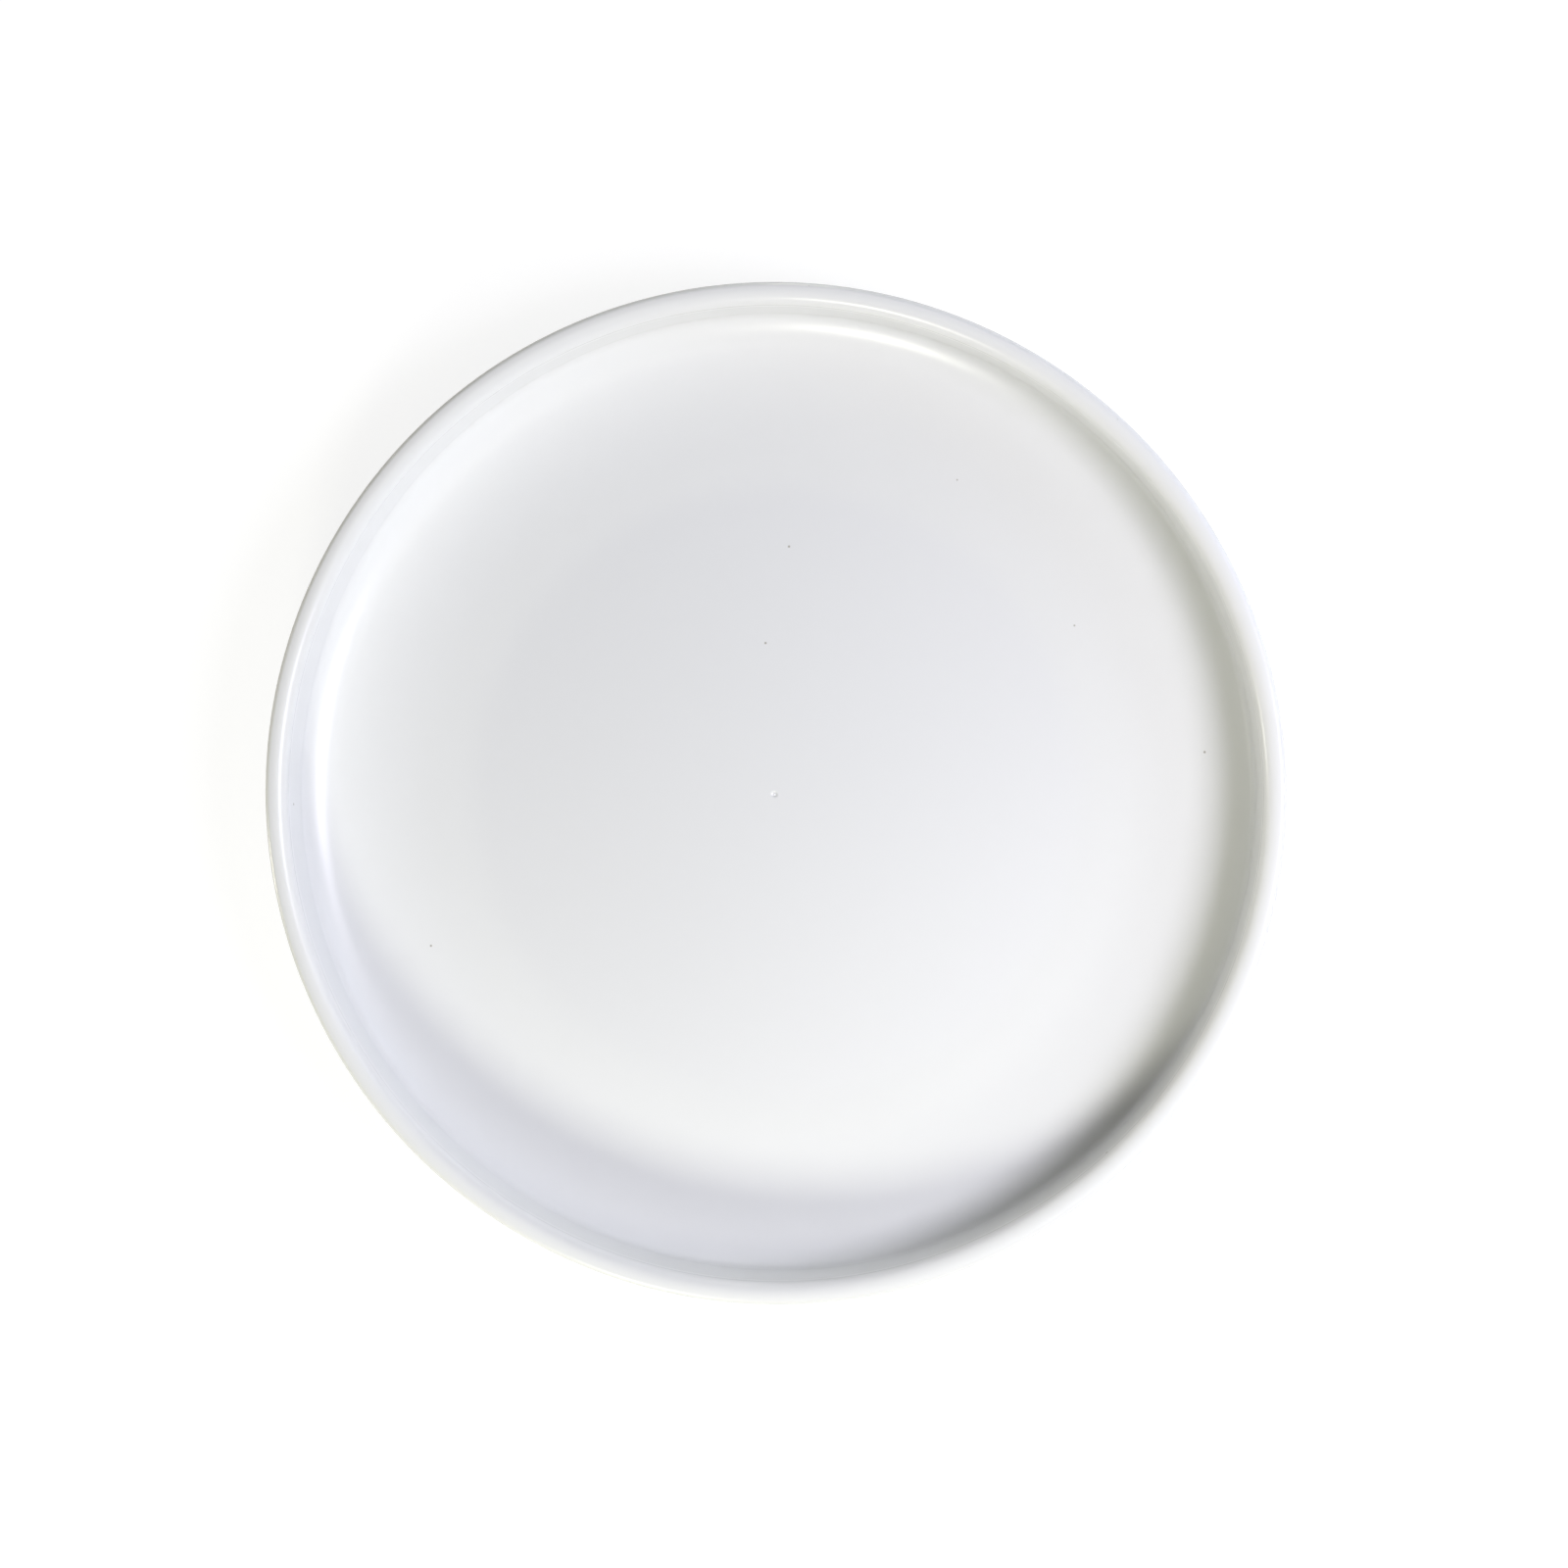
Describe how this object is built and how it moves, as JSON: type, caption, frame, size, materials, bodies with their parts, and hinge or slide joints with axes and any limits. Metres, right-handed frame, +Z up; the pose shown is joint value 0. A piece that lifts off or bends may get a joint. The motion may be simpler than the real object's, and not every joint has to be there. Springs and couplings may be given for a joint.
{
  "type": "evaporating dish",
  "caption": "Shallow round evaporating dish with a flat floor, a coved side, a short upright collar and a rounded rim, standing on a low foot ring.",
  "frame": {"origin": "centre of the foot ring's resting face, on the dish's axis", "axes": "+Z up along the dish's axis, out of its open side; the dish is round, so +X and +Y are free"},
  "size_m": [0.15, 0.15, 0.0182],
  "materials": {
    "dish_body": "satin white PTFE"
  },
  "bodies": {
    "root": {"dish": "dish_body"}
  },
  "joints": []
}
